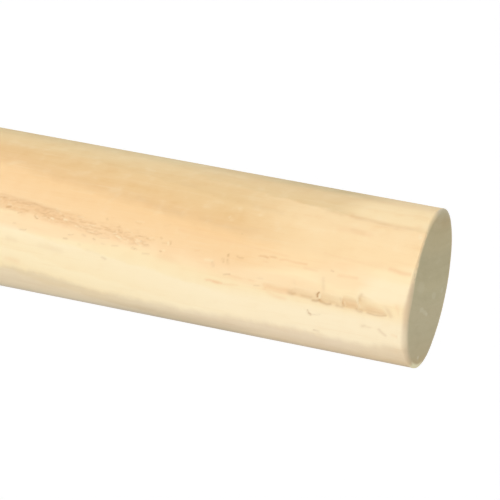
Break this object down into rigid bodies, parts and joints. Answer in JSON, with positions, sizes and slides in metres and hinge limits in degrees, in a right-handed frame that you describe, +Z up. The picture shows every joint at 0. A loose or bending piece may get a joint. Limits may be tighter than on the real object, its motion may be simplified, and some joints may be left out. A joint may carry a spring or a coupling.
{
  "type": "wooden dowel rod",
  "caption": "Plain round rod of pale softwood with square-cut, eased ends and a short strip of torn grain near the upper end.",
  "frame": {"origin": "middle of the lower end face", "axes": "+Z up along the rod and the grain, -Y the side with the torn grain a little round to +X"},
  "size_m": [0.0254, 0.0254, 0.3048],
  "materials": {
    "wood": "matte"
  },
  "bodies": {
    "root": {"dowel_rod": "wood"}
  },
  "joints": []
}
